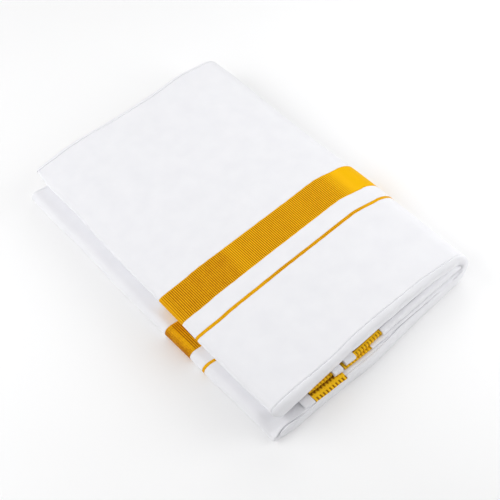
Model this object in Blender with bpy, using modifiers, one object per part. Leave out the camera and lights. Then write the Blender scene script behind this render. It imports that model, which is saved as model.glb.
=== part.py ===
"""A double dhoti, folded flat into a packet: white cotton with woven zari.

The long cloth is doubled over and over into one thick strip, and that strip is
shut like a book.  In cross-section it is a C lying on its back: an upper lobe,
a round spine on the right and a lower lobe.  The upper lobe's left edge is a lip,
with the layers beneath it stepping back, and the lower lobe's is a round fold.
The lower lobe lies a little further out to the left and to the front.  Four plies
with the zari side border on them peep out between the lobes.

Frame: metres, +X from the left folds across to the spine, +Y from the front end
to the back end, +Z up.  Origin under the middle of the packet, on the surface
that it lies on.
"""

import math

import bmesh
import bpy
import numpy as np

# ---------------------------------------------------------------- driving sizes
PACKET_LENGTH = 0.318        # run of the cloth that the tables count along; END_LINES place its ends
PACKET_HEIGHT = 0.032
SPINE_RADIUS = PACKET_HEIGHT / 2.0
LOBE_GAP = 0.0050            # room between the lobes, which the inner plies fill
EYE_RADIUS = 0.0006          # the gap closes to a slit with a small eye at the spine
EYE_SHIFT = 0.0075           # how far the eye lies past the middle of the spine's round
GAP_CLOSE_START, GAP_CLOSE_END = 0.1918, 0.1950
CLOTH_WALL = 0.0012          # outermost layers of cloth, lying together
SEAM_GAP = 0.0003            # between one stretch of cloth and the next
FOLD_REACH = 0.0068          # how far a left fold bulges past the flat of its lobe
NOSE_CORNER = 0.45           # share of a left fold's bulge lost where it meets an end
LIP_DROOP = 0.0010           # the upper lobe's top sinks this much at its lip
LIP_DROOP_END = 0.010
BELLY_DROOP = 0.0040         # and its underside sags this much onto the lower lobe
BELLY_START, BELLY_END = 0.008, 0.023
CORNER_PINCH = 0.70          # share of thickness lost at the lower front left corner
PINCH_ACROSS, PINCH_ALONG = 0.026, 0.030
SPINE_LEAN = 0.22            # the upper lobe's cloth leans to the lower's place as it nears the spine
LEAN_START, LEAN_END = 0.170, 0.200

# woven zari, as distances along the upper lobe from its front fold
ZARI_LINE_START, ZARI_LINE_WIDTH = 0.0859, 0.0032
ZARI_BAND_START, ZARI_BAND_WIDTH = 0.1051, 0.0298

# hidden layers, inside the outer cloth
CORE_INSET = CLOTH_WALL + 0.0005
CORE_NOSE_INSET = 0.0032
CORE_LIP_SHIFT = 0.6         # the core's lip stands back by these multiples of its inset
CORE_LIP_LOSS = 1.5

# ---------------------------------------------------------------- mesh density
LOBE_SHARES = (0.0, 0.045, 0.09, 0.20, 0.36, 0.52, 0.68, 0.82, 0.93, 0.982, 1.0)
SPINE_STEPS = 8

# ---------------------------------------------------------------- edge shapes
# Ends of the packet: where its front and back folds lie, across the packet.
#   across from the left, upper front, lower front, upper back, lower back
END_LINES = (
    (-0.012, -0.0036, -0.0085, 0.3150, 0.3090),
    (0.018, -0.0048, -0.0121, 0.3172, 0.3085),
    (0.038, -0.0041, -0.0119, 0.3192, 0.3072),
    (0.065, -0.0032, -0.0127, 0.3186, 0.3060),
    (0.092, -0.0018, -0.0140, 0.3174, 0.3064),
    (0.137, -0.0014, -0.0112, 0.3178, 0.3080),
    (0.165, -0.0018, -0.0099, 0.3198, 0.3090),
    (0.196, -0.0022, -0.0090, 0.3172, 0.3110),
    (0.214, -0.0022, -0.0088, 0.3160, 0.3112),
)
# Sides of the packet: how far out the folds lie, along the packet.
#   along from the front, upper lip, lower left fold, spine
SIDE_LINES = (
    (0.000, -0.0006, -0.0068, 0.2112),
    (0.030, -0.0010, -0.0078, 0.2108),
    (0.080, -0.0015, -0.0090, 0.2118),
    (0.125, -0.0009, -0.0099, 0.2120),
    (0.165, -0.0011, -0.0113, 0.2108),
    (0.205, -0.0006, -0.0116, 0.2104),
    (0.245, 0.0006, -0.0109, 0.2110),
    (0.290, 0.0006, -0.0121, 0.2120),
    (0.318, 0.0030, -0.0117, 0.2110),
)
# The lower lobe's cloth has crept along the packet, against the upper lobe's.
#   along from the front, creep
LOWER_CREEP = (
    (0.0000, 0.0000),
    (0.0064, -0.0030),
    (0.0450, -0.0062),
    (0.0875, -0.0093),
    (0.1051, -0.0105),
    (0.1349, -0.0097),
    (0.2000, -0.0060),
    (0.2800, -0.0015),
    (0.3180, 0.0000),
)
# The upper lobe's left edge, down its side from the lip.
#   height from 1 at the top to -1 at the bottom, share of the fold's reach
LIP_PROFILE = (
    (0.95, 0.58),
    (0.82, 0.90),
    (0.62, 1.00),
    (0.20, 0.80),
    (-0.25, 0.52),
    (-0.65, 0.25),
)
# A fold at an end, from its deepest line out past its crease to the full
# thickness of the lobe:
#   share of the thickness, distance behind the end line
NOSE_PROFILE = (
    (0.05, 0.0006),
    (0.20, 0.0001),
    (0.42, 0.0000),
    (0.66, 0.0004),
    (0.84, 0.0015),
    (0.95, 0.0036),
    (0.94, 0.0058),
    (1.00, 0.0070),
)
CORE_NOSE_PROFILE = (
    (0.12, 0.0012),
    (0.45, 0.0000),
    (0.85, 0.0016),
    (1.00, 0.0045),
)

# ---------------------------------------------------------------- inner plies
# Plies between the lobes.  Each ply is a doubled layer with a round nose at
# both ends.  Kinds: "border" carries the woven side border, "plain" is white.
#   name, kind, left, right, level, front at left, front at right, back
PLY_LEVELS = {"low": 0.0138, "top": 0.01615}
PLY_THICKNESS = 0.00205
INNER_PLIES = (
    ("left_low_plain", "plain", 0.0250, 0.0342, "low", -0.0096, -0.0110, 0.3045),
    ("left_low_border", "border", 0.0345, 0.0655, "low", -0.0112, -0.0128, 0.3045),
    ("left_top_border", "border", 0.0345, 0.0582, "top", -0.0052, -0.0058, 0.3110),
    ("left_top_tab", "plain", 0.0585, 0.0668, "top", -0.0064, -0.0070, 0.3100),
    ("right_low_border", "border", 0.0695, 0.0970, "low", -0.0066, -0.0076, 0.3030),
    ("right_low_plain", "plain", 0.0973, 0.1905, "low", -0.0076, -0.0066, 0.3030),
    ("right_top_margin", "plain", 0.0715, 0.0812, "top", -0.0050, -0.0056, 0.3085),
    ("right_top_border", "border", 0.0815, 0.1115, "top", -0.0060, -0.0056, 0.3085),
    ("right_top_plain", "plain", 0.1118, 0.1905, "top", -0.0054, -0.0046, 0.3085),
)
PLY_NOSE_STEPS = 5
PLY_STATION_PITCH = 0.025

# ---------------------------------------------------------------- colours
WHITE_COTTON = {"colour": (0.88, 0.88, 0.90, 1.0), "roughness": 0.90, "metallic": 0.0}
GOLD_ZARI = {"colour": (0.75, 0.45, 0.05, 1.0), "roughness": 0.45, "metallic": 0.55}


def clear_scene():
    """Remove whatever the file holds, the default cube too."""
    for old in list(bpy.data.objects):
        bpy.data.objects.remove(old, do_unlink=True)


def make_material(name, look):
    """A Principled material with one colour, roughness and metallic value."""
    material = bpy.data.materials.new(name)
    material.use_nodes = True
    shader = material.node_tree.nodes["Principled BSDF"]
    shader.inputs["Base Color"].default_value = look["colour"]
    shader.inputs["Roughness"].default_value = look["roughness"]
    shader.inputs["Metallic"].default_value = look["metallic"]
    material.diffuse_color = look["colour"]
    return material


def smooth_step(start, end, at):
    """0 before start, 1 after end, and an even S between."""
    share = min(max((at - start) / (end - start), 0.0), 1.0)
    return share * share * (3.0 - 2.0 * share)


def line_through(rows, column, at):
    """One column of a table as a smooth line through its rows, never past their values."""
    places = np.array([row[0] for row in rows])
    values = np.array([row[column] for row in rows])
    gaps = np.diff(places)
    rises = np.diff(values) / gaps
    slopes = np.zeros(len(rows))
    for row in range(1, len(rows) - 1):
        before, after = rises[row - 1], rises[row]
        if before * after > 0.0:
            slopes[row] = 2.0 * before * after / (before + after)
    at = min(max(at, places[0]), places[-1])
    row = max(1, min(int(np.searchsorted(places, at)), len(rows) - 1)) - 1
    share = (at - places[row]) / gaps[row]
    level = values[row] + (values[row + 1] - values[row]) * share * share * (3.0 - 2.0 * share)
    level += gaps[row] * slopes[row] * share * (1.0 - share) ** 2
    level -= gaps[row] * slopes[row + 1] * share * share * (1.0 - share)
    return float(level)


# ---------------------------------------------------------------- the folded C
def lobe_faces(side, across, along):
    """Outer and inner face of a lobe at one place, as heights."""
    middle = PACKET_HEIGHT / 2.0
    closing = 1.0 - smooth_step(GAP_CLOSE_START, GAP_CLOSE_END, across)
    half_gap = EYE_RADIUS + (LOBE_GAP / 2.0 - EYE_RADIUS) * closing
    if side == "upper":
        lip = 1.0 - smooth_step(0.0, LIP_DROOP_END, across)
        belly = 1.0 - smooth_step(BELLY_START, BELLY_END, across)
        return PACKET_HEIGHT - LIP_DROOP * lip, middle + half_gap - BELLY_DROOP * belly
    corner = 1.0 - smooth_step(-FOLD_REACH, PINCH_ACROSS, across)
    corner *= 1.0 - smooth_step(0.0, PINCH_ALONG, along)
    return 0.0, (middle - half_gap) * (1.0 - CORNER_PINCH * corner)


def turn_at(side, across):
    """How far a place on a lobe is turned from the upper lobe's run, 0, to the lower's, 1."""
    if side == "lower":
        return 1.0
    return SPINE_LEAN * smooth_step(LEAN_START, LEAN_END, across)


def end_to_end(across, turn, along):
    """Y of a distance along the cloth, at a turn from the upper lobe's run to the lower's."""
    front = (1.0 - turn) * line_through(END_LINES, 1, across) + turn * line_through(END_LINES, 2, across)
    back = (1.0 - turn) * line_through(END_LINES, 3, across) + turn * line_through(END_LINES, 4, across)
    crept = along + turn * line_through(LOWER_CREEP, 1, along)
    return front + (back - front) * crept / PACKET_LENGTH


def fold_profile(side):
    """Rise and reach down a left edge, as shares of its half height and its reach."""
    if side == "upper":
        return LIP_PROFILE
    steps = len(LIP_PROFILE) + 1
    angles = [math.pi / 2.0 - math.pi * step / steps for step in range(1, steps)]
    return [(math.sin(angle), math.cos(angle)) for angle in angles]


def thinned(outer, inner, share):
    """Two facing points, drawn together to a share of their distance."""
    outer, inner = np.array(outer), np.array(inner)
    middle = (outer + inner) / 2.0
    return middle + (outer - middle) * share, middle + (inner - middle) * share


def lobe_section(side, along, share, inset):
    """Facing points over one lobe from fold to spine, and the points down its left edge."""
    inwards = inset if side == "upper" else -inset
    fold = line_through(SIDE_LINES, 1 if side == "upper" else 2, along) + FOLD_REACH
    reach = FOLD_REACH - inset
    if side == "upper":
        fold += CORE_LIP_SHIFT * inset
        reach = FOLD_REACH - CORE_LIP_LOSS * inset
    spine_across = line_through(SIDE_LINES, 3, along) - SPINE_RADIUS
    pairs = []
    for station in LOBE_SHARES:
        across = fold + (spine_across - fold) * station
        place = end_to_end(across, turn_at(side, across), along)
        outer, inner = lobe_faces(side, across, along)
        pairs.append(thinned((across, place, outer - inwards), (across, place, inner + inwards), share))
    high = max(pairs[0][0][2], pairs[0][1][2])
    low = min(pairs[0][0][2], pairs[0][1][2])
    reach *= 1.0 - NOSE_CORNER * (1.0 - share)
    edge = []
    for rise, out in fold_profile(side):
        across = fold - reach * out
        height = (high + low) / 2.0 + (high - low) / 2.0 * rise
        edge.append((across, end_to_end(across, turn_at(side, across), along), height))
    return pairs, edge


def spine_section(along, share, inset):
    """Facing points round the spine, from the upper lobe down to the lower."""
    across = line_through(SIDE_LINES, 3, along) - SPINE_RADIUS
    middle = PACKET_HEIGHT / 2.0
    pairs = []
    for step in range(1, SPINE_STEPS):
        angle = math.pi / 2.0 - math.pi * step / SPINE_STEPS
        place = end_to_end(across, SPINE_LEAN + (1.0 - SPINE_LEAN) * step / SPINE_STEPS, along)
        points = []
        for centre, radius in ((across, SPINE_RADIUS - inset), (across + EYE_SHIFT, EYE_RADIUS + inset)):
            points.append((centre + radius * math.cos(angle), place, middle + radius * math.sin(angle)))
        pairs.append(thinned(points[0], points[1], share))
    return pairs


def section(along, share, inset):
    """One ring of points round the C, thinned to a share of its thickness.

    It runs over the top to the spine, back along the bottom, round the lower
    left fold, along the gap between the lobes and down the upper lobe's edge.
    """
    upper, upper_edge = lobe_section("upper", along, share, inset)
    lower, lower_edge = lobe_section("lower", along, share, inset)
    pairs = upper + spine_section(along, share, inset) + lower[::-1]
    outer = [pair[0] for pair in pairs]
    inner = [pair[1] for pair in pairs]
    return outer + lower_edge[::-1] + inner[::-1] + upper_edge[::-1]


def ring_pairs():
    """Which points of a ring face each other through the thickness, fold to fold."""
    stations = 2 * len(LOBE_SHARES) + SPINE_STEPS - 1
    cap = len(LIP_PROFILE)
    upper_cap = [(2 * stations + 2 * cap - 1 - step, 2 * stations + cap + step) for step in range(cap // 2)]
    across = [(step, 2 * stations + cap - 1 - step) for step in range(stations)]
    lower_cap = [(stations + step, stations + cap - 1 - step) for step in range(cap // 2)]
    return upper_cap[::-1] + across + lower_cap


def loft(name, rings, closed_front, closed_back):
    """A surface through rings of points, closed across the thickness where asked."""
    builder = bmesh.new()
    rows = [[builder.verts.new(point) for point in ring] for ring in rings]
    count = len(rows[0])
    for near, far in zip(rows, rows[1:]):
        for step in range(count):
            after = (step + 1) % count
            builder.faces.new((near[step], near[after], far[after], far[step]))
    pairs = ring_pairs()
    for row, closed, front in ((rows[0], closed_front, True), (rows[-1], closed_back, False)):
        if not closed:
            continue
        for this, following in zip(pairs, pairs[1:]):
            corners = [row[this[0]], row[this[1]], row[following[1]], row[following[0]]]
            builder.faces.new(corners if front else corners[::-1])
    mesh = bpy.data.meshes.new(name)
    builder.to_mesh(mesh)
    builder.free()
    return mesh


def nose_rings(profile, inset, nose_inset, at_front):
    """Rings of an end fold, in order along the packet."""
    rings = []
    for share, behind in profile:
        along = nose_inset + behind
        if not at_front:
            along = PACKET_LENGTH - along
        rings.append(section(along, share, inset))
    return rings if at_front else rings[::-1]


def plain_rings(start, end, pieces, inset):
    """Rings of full thickness, evenly spaced."""
    return [section(start + (end - start) * step / pieces, 1.0, inset) for step in range(pieces + 1)]


# ---------------------------------------------------------------- objects
def finish_object(name, mesh, material, collection, origin):
    """Link a mesh as one named, smooth shaded object under the packet's origin."""
    mesh.materials.append(material)
    mesh.shade_smooth()
    mesh.set_sharp_from_angle(angle=math.radians(50.0))
    part = bpy.data.objects.new(name, mesh)
    collection.objects.link(part)
    part.parent = origin
    return part


def add_wall(part):
    """Give an open surface the thickness of the outer cloth, inwards."""
    wall = part.modifiers.new("cloth thickness", "SOLIDIFY")
    wall.thickness = CLOTH_WALL
    wall.offset = -1.0
    wall.use_even_offset = True
    wall.use_rim = True


def build_outer_cloth(collection, origin, cotton, zari):
    """The outer layer all round the C, one stretch for each kind of weave."""
    line_end = ZARI_LINE_START + ZARI_LINE_WIDTH
    band_end = ZARI_BAND_START + ZARI_BAND_WIDTH
    body_start = NOSE_PROFILE[-1][1]
    body_end = PACKET_LENGTH - body_start

    front = nose_rings(NOSE_PROFILE, 0.0, 0.0, True)
    front += plain_rings(body_start, ZARI_LINE_START - SEAM_GAP, 4, 0.0)[1:]
    back = plain_rings(band_end + SEAM_GAP, body_end, 8, 0.0)[:-1]
    back += nose_rings(NOSE_PROFILE, 0.0, 0.0, False)
    stretches = (
        ("cloth_front", cotton, front, True, False),
        ("zari_line", zari, plain_rings(ZARI_LINE_START, line_end, 1, 0.0), False, False),
        ("cloth_between_zari", cotton,
         plain_rings(line_end + SEAM_GAP, ZARI_BAND_START - SEAM_GAP, 1, 0.0), False, False),
        ("zari_band", zari, plain_rings(ZARI_BAND_START, band_end, 2, 0.0), False, False),
        ("cloth_back", cotton, back, False, True),
    )
    parts = []
    for name, material, rings, closed_front, closed_back in stretches:
        mesh = loft(name, rings, closed_front, closed_back)
        part = finish_object(name, mesh, material, collection, origin)
        add_wall(part)
        parts.append(part)
    return parts


def build_hidden_layers(collection, origin, cotton):
    """All the layers inside the outer cloth, as one rounded solid with layered ends."""
    start = CORE_NOSE_INSET + CORE_NOSE_PROFILE[-1][1]
    rings = nose_rings(CORE_NOSE_PROFILE, CORE_INSET, CORE_NOSE_INSET, True)
    rings += plain_rings(start, PACKET_LENGTH - start, 13, CORE_INSET)[1:-1]
    rings += nose_rings(CORE_NOSE_PROFILE, CORE_INSET, CORE_NOSE_INSET, False)
    mesh = loft("hidden_layers", rings, True, True)
    return finish_object("hidden_layers", mesh, cotton, collection, origin)


def ply_profile(front, back, low):
    """Outline of a doubled ply seen from its side, with a round nose at both ends."""
    radius = PLY_THICKNESS / 2.0
    centre = low + radius
    points = []
    for nose, direction in ((front + radius, -1.0), (back - radius, 1.0)):
        for step in range(PLY_NOSE_STEPS + 1):
            angle = math.pi * step / PLY_NOSE_STEPS - math.pi / 2.0
            points.append((nose + direction * radius * math.cos(angle),
                           centre - direction * radius * math.sin(angle)))
    return points


def build_inner_plies(collection, origin, cotton, zari):
    """The plies between the lobes, as rows of one table."""
    parts = []
    for name, kind, left, right, level, front_left, front_right, back in INNER_PLIES:
        pieces = max(1, math.ceil((right - left) / PLY_STATION_PITCH))
        builder = bmesh.new()
        rows = []
        for step in range(pieces + 1):
            share = step / pieces
            across = left + (right - left) * share
            front = front_left + (front_right - front_left) * share
            profile = ply_profile(front, back, PLY_LEVELS[level])
            rows.append([builder.verts.new((across, along, height)) for along, height in profile])
        for near, far in zip(rows, rows[1:]):
            for step in range(len(near)):
                after = (step + 1) % len(near)
                builder.faces.new((near[step], near[after], far[after], far[step]))
        builder.faces.new(rows[0])
        builder.faces.new(rows[-1])
        bmesh.ops.recalc_face_normals(builder, faces=builder.faces)
        mesh = bpy.data.meshes.new(name)
        builder.to_mesh(mesh)
        builder.free()
        material = zari if kind == "border" else cotton
        parts.append(finish_object("ply_" + name, mesh, material, collection, origin))
    return parts


def centre_packet(parts, origin):
    """Move the packet so that the middle of its footprint is over the origin."""
    places = np.array([vertex.co[:2] for part in parts for vertex in part.data.vertices])
    middle = (places.min(axis=0) + places.max(axis=0)) / 2.0
    origin.location = (-middle[0], -middle[1], 0.0)


def main():
    clear_scene()
    collection = bpy.data.collections.new("folded_dhoti")
    bpy.context.scene.collection.children.link(collection)
    origin = bpy.data.objects.new("packet_origin", None)
    collection.objects.link(origin)
    cotton = make_material("white_cotton", WHITE_COTTON)
    zari = make_material("gold_zari", GOLD_ZARI)
    parts = build_outer_cloth(collection, origin, cotton, zari)
    parts.append(build_hidden_layers(collection, origin, cotton))
    parts += build_inner_plies(collection, origin, cotton, zari)
    centre_packet(parts, origin)


main()
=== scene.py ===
"""The looks of a folded white dhoti with woven zari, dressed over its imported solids.

Every shape is worked out in the packet's own coordinates, in metres: across runs
from the upper lobe's left fold to the spine, along runs from the front end to the
back end, and height is above the surface that the packet lies on.
"""
import math

import bpy
import numpy as np
from mathutils import Matrix, Vector


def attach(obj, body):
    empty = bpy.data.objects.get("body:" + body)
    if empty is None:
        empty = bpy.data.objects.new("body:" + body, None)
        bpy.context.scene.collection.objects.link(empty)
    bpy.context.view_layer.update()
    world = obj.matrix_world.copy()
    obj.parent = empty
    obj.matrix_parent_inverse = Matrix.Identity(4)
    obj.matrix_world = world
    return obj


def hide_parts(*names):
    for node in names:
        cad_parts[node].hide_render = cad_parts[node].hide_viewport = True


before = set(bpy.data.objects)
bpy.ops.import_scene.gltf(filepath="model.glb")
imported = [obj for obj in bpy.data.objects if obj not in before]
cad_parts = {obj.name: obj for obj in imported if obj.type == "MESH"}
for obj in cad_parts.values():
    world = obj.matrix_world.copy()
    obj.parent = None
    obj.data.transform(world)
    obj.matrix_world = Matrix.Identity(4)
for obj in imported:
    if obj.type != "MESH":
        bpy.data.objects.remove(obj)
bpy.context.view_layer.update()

# ---------------------------------------------------------------- the packet's sizes
PACKET_LENGTH = 0.318
PACKET_HEIGHT = 0.032
SPINE_RADIUS = PACKET_HEIGHT / 2.0
LOBE_GAP = 0.0050
LOBE_THICKNESS = (PACKET_HEIGHT - LOBE_GAP) / 2.0
EYE_RADIUS = 0.0006
EYE_SHIFT = 0.0075
GAP_CLOSE_START, GAP_CLOSE_END = 0.1950, 0.2015
FOLD_REACH = 0.0068
LIP_DROOP = 0.0010
LIP_DROOP_END = 0.010
BELLY_DROOP = 0.0040
BELLY_START, BELLY_END = 0.008, 0.023
CORNER_PINCH = 0.70
PINCH_ACROSS, PINCH_ALONG = 0.026, 0.030
SPINE_LEAN = 0.22
LEAN_START, LEAN_END = 0.170, 0.200
ZARI_LINE_START, ZARI_LINE_WIDTH = 0.0861, 0.0028
ZARI_BAND_START, ZARI_BAND_WIDTH = 0.1051, 0.0298

# Ends of the packet: where its front and back folds lie, across the packet.
#   across, upper front, lower front, upper back, lower back
END_LINES = (
    (-0.012, -0.0036, -0.0085, 0.3150, 0.3090),
    (0.018, -0.0048, -0.0121, 0.3172, 0.3085),
    (0.038, -0.0041, -0.0119, 0.3192, 0.3072),
    (0.065, -0.0032, -0.0127, 0.3186, 0.3060),
    (0.092, -0.0018, -0.0140, 0.3174, 0.3064),
    (0.137, -0.0014, -0.0112, 0.3178, 0.3080),
    (0.165, -0.0018, -0.0099, 0.3198, 0.3090),
    (0.196, -0.0022, -0.0090, 0.3172, 0.3110),
    (0.214, -0.0022, -0.0088, 0.3160, 0.3112),
)
# Sides of the packet: how far out the folds lie, along the packet.
#   along, upper lip, lower left fold, spine
SIDE_LINES = (
    (0.000, -0.0006, -0.0068, 0.2112),
    (0.030, -0.0010, -0.0078, 0.2108),
    (0.080, -0.0015, -0.0090, 0.2118),
    (0.125, -0.0009, -0.0099, 0.2120),
    (0.165, -0.0011, -0.0113, 0.2108),
    (0.205, -0.0006, -0.0116, 0.2104),
    (0.245, 0.0006, -0.0109, 0.2110),
    (0.290, 0.0006, -0.0121, 0.2120),
    (0.318, 0.0030, -0.0117, 0.2110),
)
# The lower lobe's cloth has crept along the packet, against the upper lobe's.
#   along, creep
LOWER_CREEP = (
    (0.0000, 0.0000),
    (0.0064, -0.0030),
    (0.0450, -0.0062),
    (0.0875, -0.0093),
    (0.1051, -0.0105),
    (0.1349, -0.0097),
    (0.2000, -0.0060),
    (0.2800, -0.0015),
    (0.3180, 0.0000),
)
# The upper lobe's left edge, from its top down round the lip to its underside.
#   place down the edge, height from 1 to -1, share of the fold's reach
LIP_PROFILE = (
    (0.000, 1.00, 0.00),
    (0.143, 0.95, 0.58),
    (0.286, 0.82, 0.90),
    (0.429, 0.62, 1.00),
    (0.571, 0.20, 0.80),
    (0.714, -0.25, 0.52),
    (0.857, -0.65, 0.25),
    (1.000, -1.00, 0.00),
)

# ---------------------------------------------------------------- cloth details
COTTON_THICKNESS = 0.0005
ZARI_THICKNESS = 0.0004
ZARI_RISE = 0.00012           # how far the gold stands above the cotton
TUCK_UNDER = 0.0006           # how far the cotton reaches under the gold at a seam
EDGE_WOBBLE, EDGE_WOBBLE_LENGTH = 0.00012, 0.010
# Edges of the zari, from the front: where it runs along the cloth, seed of its wobble.
ZARI_EDGES = (
    (ZARI_LINE_START, 33),
    (ZARI_LINE_START + ZARI_LINE_WIDTH, 34),
    (ZARI_BAND_START, 31),
    (ZARI_BAND_START + ZARI_BAND_WIDTH, 32),
)
RIB_PITCH = 0.00173
RIB_HEIGHT = 0.00026
# Painted light on the zari across the packet: painted shade below 0, on the lower lobe's roll, brighter
# over the top, and a smooth painted highlight strongest near the spine.
#   across, painted light
PAINTED_LIGHT_ACROSS = (
    (-0.012, -0.36),
    (-0.008, -0.23),
    (-0.006, -0.13),
    (-0.003, 0.00),
    (0.000, 0.00),
    (0.060, 0.00),
    (0.076, 0.34),
    (0.120, 0.32),
    (0.140, 0.39),
    (0.155, 0.32),
    (0.166, 0.34),
    (0.172, 0.42),
    (0.180, 0.31),
    (0.185, 0.07),
    (0.190, 0.30),
    (0.196, 1.00),
    (0.220, 1.00),
)
LINE_PAINTED_LIGHT = -0.07            # the fine line's level of painted light, the same all along it
RIBS_FADE_START, RIBS_FADE_END = 0.172, 0.188
BORDER_TICK_PITCH = 0.0031
BORDER_TICK_DEPTH = 0.00025
# From one thread to the next in the weaves, and the scale of the fibres' own unevenness.
WARP_PITCH, WEFT_PITCH = 0.00042, 0.00046
ZARI_WEFT_PITCH = 0.00040
FIBRE_SCALE = 900.0
THREAD_BUMP = 0.00012         # how deep the weave's bump looks


# ---------------------------------------------------------------- small helpers
def smooth_step(start, end, at):
    """0 before start, 1 after end, and an even S between."""
    share = np.clip((at - start) / (end - start), 0.0, 1.0)
    return share * share * (3.0 - 2.0 * share)


def line_through(rows, column, at):
    """One column of a table as a smooth line through its rows, never past their values."""
    places = np.array([row[0] for row in rows])
    values = np.array([row[column] for row in rows])
    gaps = np.diff(places)
    rises = np.diff(values) / gaps
    slopes = np.zeros(len(rows))
    before, after = rises[:-1], rises[1:]
    same_way = before * after > 0.0
    slopes[1:-1][same_way] = 2.0 * (before * after)[same_way] / (before + after)[same_way]
    at = np.clip(at, places[0], places[-1])
    row = np.clip(np.searchsorted(places, at), 1, len(rows) - 1) - 1
    share = (at - places[row]) / gaps[row]
    level = values[row] + (values[row + 1] - values[row]) * share * share * (3.0 - 2.0 * share)
    level = level + gaps[row] * slopes[row] * share * (1.0 - share) ** 2
    return level - gaps[row] * slopes[row + 1] * share * share * (1.0 - share)


def bump_at(across, along, centre, size, turn=0.0):
    """A soft oval bump, 1 in its middle, long and wide as size says, turned by an angle."""
    dx, dy = across - centre[0], along - centre[1]
    cosine, sine = math.cos(turn), math.sin(turn)
    far = ((dx * cosine + dy * sine) / size[0]) ** 2 + ((dy * cosine - dx * sine) / size[1]) ** 2
    return np.exp(-far)


def rolling(across, along, seed, wavelength):
    """Even, gently rolling noise from -1 to 1, the same each run."""
    chance = np.random.default_rng(seed)
    total = np.zeros(np.broadcast(across, along).shape)
    for _ in range(7):
        heading = chance.uniform(0.0, 2.0 * math.pi)
        stretch = chance.uniform(0.7, 1.5)
        phase = chance.uniform(0.0, 2.0 * math.pi)
        swing = 2.0 * math.pi / (wavelength * stretch)
        total = total + np.sin(swing * (across * math.cos(heading) + along * math.sin(heading)) + phase)
    return total / 7.0 * 1.6


# ---------------------------------------------------------------- the folded C
LOBE, SPINE, FOLD = 0, 1, 2


def lobe_faces(upper, across, along):
    """Outer and inner face of a lobe, as heights."""
    middle = PACKET_HEIGHT / 2.0
    closing = 1.0 - smooth_step(GAP_CLOSE_START, GAP_CLOSE_END, across)
    half_gap = EYE_RADIUS + (LOBE_GAP / 2.0 - EYE_RADIUS) * closing
    lip = 1.0 - smooth_step(0.0, LIP_DROOP_END, across)
    belly = 1.0 - smooth_step(BELLY_START, BELLY_END, across)
    corner = 1.0 - smooth_step(-FOLD_REACH, PINCH_ACROSS, across)
    corner = corner * (1.0 - smooth_step(0.0, PINCH_ALONG, along))
    outer = np.where(upper, PACKET_HEIGHT - LIP_DROOP * lip, 0.0)
    inner = np.where(upper, middle + half_gap - BELLY_DROOP * belly,
                     (middle - half_gap) * (1.0 - CORNER_PINCH * corner))
    return outer, inner


def turn_at(kind, upper, across, angle):
    """How far a place is turned from the upper lobe's run, 0, to the lower's, 1."""
    leaning = SPINE_LEAN * smooth_step(LEAN_START, LEAN_END, across)
    turned = SPINE_LEAN + (1.0 - SPINE_LEAN) * angle / math.pi
    return np.where(kind == SPINE, turned, np.where(upper, leaning, 1.0))


def end_lines(across, turn):
    """Front and back of the packet, at a turn from the upper lobe's run to the lower's."""
    front = (1.0 - turn) * line_through(END_LINES, 1, across) + turn * line_through(END_LINES, 2, across)
    back = (1.0 - turn) * line_through(END_LINES, 3, across) + turn * line_through(END_LINES, 4, across)
    return front, back


def ring_points(top, spine, bottom, fold_steps, ledge, belly):
    """Points of a ring round the C, as rows of kind, lobe, place and face.

    The lobe is 1 for the upper and 0 for the lower, the place is a share of the way
    across or an angle, and the face is 1 for the outer and -1 for the inner.  The ring
    runs over the top to the spine, back along the bottom, round the lower left
    fold, through the gap between the lobes and up the upper lobe's left edge.
    """
    angles = [math.pi * step / spine for step in range(1, spine)]
    down = [step / (fold_steps + 1) for step in range(1, fold_steps + 1)]
    rows = [(LOBE, 1.0, share, 1.0) for share in top]
    rows += [(SPINE, 0.0, angle, 1.0) for angle in angles]
    rows += [(LOBE, 0.0, share, 1.0) for share in bottom[::-1]]
    rows += [(FOLD, 0.0, place, 1.0) for place in down[::-1]]
    rows += [(LOBE, 0.0, share, -1.0) for share in ledge]
    rows += [(SPINE, 0.0, angle, -1.0) for angle in angles[::-1]]
    rows += [(LOBE, 1.0, share, -1.0) for share in belly[::-1]]
    rows += [(FOLD, 1.0, place, 1.0) for place in down[::-1]]
    return np.array(rows)


def place_ring(rows, along):
    """Places of ring points at distances along the cloth, one row of points for each."""
    kind, upper, share, face = rows.T
    upper = upper > 0.5
    along = np.asarray(along, float)
    if along.ndim == 1:
        along = along[:, None]
    along = np.broadcast_to(along, (along.shape[0], len(rows)))
    lip, lower_fold = line_through(SIDE_LINES, 1, along), line_through(SIDE_LINES, 2, along)
    fold = np.where(upper, lip, lower_fold) + FOLD_REACH
    spine_across = line_through(SIDE_LINES, 3, along) - SPINE_RADIUS
    rise = np.where(upper, line_through(LIP_PROFILE, 1, share), np.cos(math.pi * share))
    reach = np.where(upper, line_through(LIP_PROFILE, 2, share), np.sin(math.pi * share))
    across = fold + (spine_across - fold) * share
    across = np.where(kind == FOLD, fold - FOLD_REACH * reach, across)
    outer, inner = lobe_faces(upper, np.where(kind == FOLD, fold, across), along)
    height = np.where(face > 0, outer, inner)
    edge = (outer + inner) / 2.0 + np.abs(outer - inner) / 2.0 * rise
    height = np.where(kind == FOLD, edge, height)
    radius = np.where(face > 0, SPINE_RADIUS, EYE_RADIUS)
    centre = np.where(face > 0, spine_across, spine_across + EYE_SHIFT)
    across = np.where(kind == SPINE, centre + radius * np.sin(share), across)
    height = np.where(kind == SPINE, PACKET_HEIGHT / 2.0 + radius * np.cos(share), height)
    turn = turn_at(kind, upper, across, share)
    front, back = end_lines(np.where(kind == SPINE, spine_across, across), turn)
    crept = along + turn * line_through(LOWER_CREEP, 1, along)
    return np.stack([across, front + (back - front) * crept / PACKET_LENGTH, height], axis=-1)


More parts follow.
